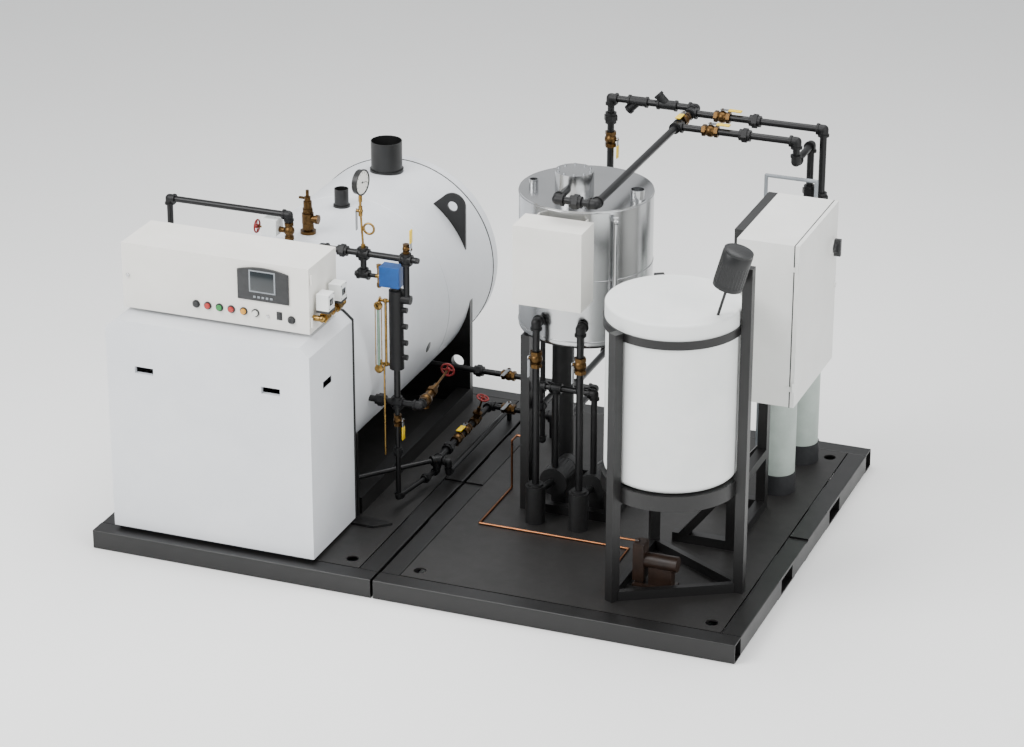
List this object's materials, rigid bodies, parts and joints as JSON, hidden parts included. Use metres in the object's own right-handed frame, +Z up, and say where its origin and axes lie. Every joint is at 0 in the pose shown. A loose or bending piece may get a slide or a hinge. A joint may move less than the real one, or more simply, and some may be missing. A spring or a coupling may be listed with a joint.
{
  "type": "skid-mounted industrial boiler plant",
  "caption": "Packaged steam boiler on two joined skids with casing, control box, feedwater tank, dosing tank, softener, cabinet and pipework",
  "frame": {"origin": "centre of the skid's footprint on the floor, at mount skid_base", "axes": "+X along the long front edge to the right, +Y to the back, +Z up"},
  "size_m": [3.5696, 2.635, 1.9766],
  "materials": {
    "motor_blue": "grey enamel motor",
    "red_wheel": "dark red enamel",
    "lagging": "light grey satin jacket",
    "dark_frame": "semi-gloss black paint",
    "brass": "machined brass",
    "casing_grey": "light grey satin sheet",
    "black_trim": "black",
    "white_plastic": "white moulded",
    "yellow_lever": "yellow vinyl grip on steel",
    "panel_white": "warm white powder coat",
    "copper": "copper tube",
    "deck": "dark grey chequered plate paint",
    "control": "black and coloured controls",
    "pump_brown": "brown enamel motor",
    "grey_plastic": "grey moulded",
    "motor_grey": "dark grey cast iron",
    "stainless": "polished stainless",
    "grey_lever": "zinc plated",
    "blue_cover": "blue enamel",
    "malleable": "black malleable iron",
    "pipe": "black steel pipe",
    "gauge_face": "steel case with white dial",
    "bronze": "cast bronze",
    "rubber_boot": "black rubber and plastic",
    "resin_tank": "pale grey-green wound tank"
  },
  "bodies": {
    "plant": {"agitator": "motor_blue", "boiler_heads": "lagging", "boiler_shell": "lagging", "boiler_supports": "dark_frame", "brass_trim": "brass", "cabinet_body": "casing_grey", "casing_back_frame": "black_trim", "casing_front": "casing_grey", "casing_wrap": "casing_grey", "chem_stand_rails": "dark_frame", "chem_tank": "white_plastic", "chem_tank_lid": "white_plastic", "control_box": "panel_white", "copper_tube": "copper", "deck_plates": "deck", "dosing_pump": "pump_brown", "drain_tube": "grey_plastic", "feed_control_box": "panel_white", "feed_pumps": "motor_grey", "feed_tank_ends": "stainless", "feed_tank_shell": "stainless", "fork_pocket_plates": "dark_frame", "gas_train": "brass", "level_control": "blue_cover", "level_vessel": "malleable", "lifting_lug": "dark_frame", "pipe_fittings": "malleable", "pipe_runs": "pipe", "pressure_gauge": "gauge_face", "safety_valve": "bronze", "skid_long_tubes": "dark_frame", "skid_side_tubes": "dark_frame", "softener_heads_and_boots": "rubber_boot", "softener_tanks": "resin_tank", "stack_and_vent": "lagging", "stand_posts": "dark_frame", "stand_rails": "dark_frame", "valve_actuators": "white_plastic", "valve_bodies": "bronze"},
    "control_door": {"control_door": "panel_white", "door_controls": "control"},
    "cabinet_door": {"cabinet_door": "casing_grey"},
    "steam_handwheel": {"steam_handwheel": "red_wheel"},
    "blow_handwheel": {"blow_handwheel": "red_wheel"},
    "feed_handwheel": {"feed_handwheel": "red_wheel"},
    "gauge_cock_lever": {"gauge_cock_lever": "grey_lever"},
    "column_vent_lever": {"column_vent_lever": "yellow_lever"},
    "column_drain_lever": {"column_drain_lever": "yellow_lever"},
    "feed_line_lever": {"feed_line_lever": "yellow_lever"},
    "low_feed_lever": {"low_feed_lever": "grey_lever"},
    "high_feed_lever": {"high_feed_lever": "grey_lever"},
    "riser_lever": {"riser_lever": "yellow_lever"},
    "link_lever": {"link_lever": "yellow_lever"},
    "upper_run_lever": {"upper_run_lever": "yellow_lever"},
    "lower_run_lever": {"lower_run_lever": "yellow_lever"},
    "suction_lever_1": {"suction_lever_1": "grey_lever"},
    "suction_lever_2": {"suction_lever_2": "grey_lever"},
    "disconnect_handle": {"disconnect_handle": "control"}
  },
  "joints": [
    {"name": "control_door_hinge", "type": "hinge", "parent": "plant", "child": "control_door", "pos_m": [-0.558, -1.014, 1.297], "axis": [0, 0, 1], "range_deg": [0, 110]},
    {"name": "cabinet_door_hinge", "type": "hinge", "parent": "plant", "child": "cabinet_door", "pos_m": [1.7295, -0.37, 0.999], "axis": [0, 0, -1], "range_deg": [0, 110]},
    {"name": "steam_valve_stem", "type": "hinge", "parent": "plant", "child": "steam_handwheel", "pos_m": [-1.26, -0.15, 1.465], "axis": [1, 0, 0], "range_deg": [0, 1080]},
    {"name": "blow_valve_stem", "type": "hinge", "parent": "plant", "child": "blow_handwheel", "pos_m": [-0.244, -0.01567, 0.75343], "axis": [0, 0.9879, 0.155], "range_deg": [0, 1080]},
    {"name": "gate_valve_stem", "type": "hinge", "parent": "plant", "child": "feed_handwheel", "pos_m": [-0.25765, 0.515, 0.37266], "axis": [0.309, 0, 0.9511], "range_deg": [0, 1080]},
    {"name": "gauge_cock_turn", "type": "hinge", "parent": "plant", "child": "gauge_cock_lever", "pos_m": [-0.558, -0.4, 1.732], "axis": [-1, 0, 0], "range_deg": [0, 90]},
    {"name": "column_vent_turn", "type": "hinge", "parent": "plant", "child": "column_vent_lever", "pos_m": [-0.31, -0.4, 1.56287], "axis": [1, 0, 0], "range_deg": [0, 90]},
    {"name": "column_drain_turn", "type": "hinge", "parent": "plant", "child": "column_drain_lever", "pos_m": [-0.368, -0.4, 0.606], "axis": [1, 0, 0], "range_deg": [0, 90]},
    {"name": "feed_line_turn", "type": "hinge", "parent": "plant", "child": "feed_line_lever", "pos_m": [-0.304, 0.38, 0.23], "axis": [0, 0, 1], "range_deg": [0, 90]},
    {"name": "low_feed_turn", "type": "hinge", "parent": "plant", "child": "low_feed_lever", "pos_m": [-0.189, 0.73, 0.23], "axis": [0, 0, -1], "range_deg": [0, 90]},
    {"name": "high_feed_turn", "type": "hinge", "parent": "plant", "child": "high_feed_lever", "pos_m": [-0.189, 0.73, 0.43], "axis": [0, 0, -1], "range_deg": [0, 90]},
    {"name": "riser_turn", "type": "hinge", "parent": "plant", "child": "riser_lever", "pos_m": [0.19, 1.27, 1.669], "axis": [-1, 0, 0], "range_deg": [0, 90]},
    {"name": "link_turn", "type": "hinge", "parent": "plant", "child": "link_lever", "pos_m": [0.668, 1.0705, 1.902], "axis": [0, 0, -1], "range_deg": [0, 90]},
    {"name": "upper_run_turn", "type": "hinge", "parent": "plant", "child": "upper_run_lever", "pos_m": [0.846, 1.189, 1.902], "axis": [0, 0, 1], "range_deg": [0, 90]},
    {"name": "lower_run_turn", "type": "hinge", "parent": "plant", "child": "lower_run_lever", "pos_m": [0.856, 0.952, 1.902], "axis": [0, 0, -1], "range_deg": [0, 90]},
    {"name": "suction_turn_1", "type": "hinge", "parent": "plant", "child": "suction_lever_1", "pos_m": [0.353, -0.288, 1.017], "axis": [-1, 0, 0], "range_deg": [0, 90]},
    {"name": "suction_turn_2", "type": "hinge", "parent": "plant", "child": "suction_lever_2", "pos_m": [0.591, -0.288, 1.017], "axis": [-1, 0, 0], "range_deg": [0, 90]},
    {"name": "disconnect_turn", "type": "hinge", "parent": "cabinet_door", "child": "disconnect_handle", "pos_m": [1.7365, 0.244, 1.631], "axis": [1, 0, 0], "range_deg": [0, 90]}
  ]
}
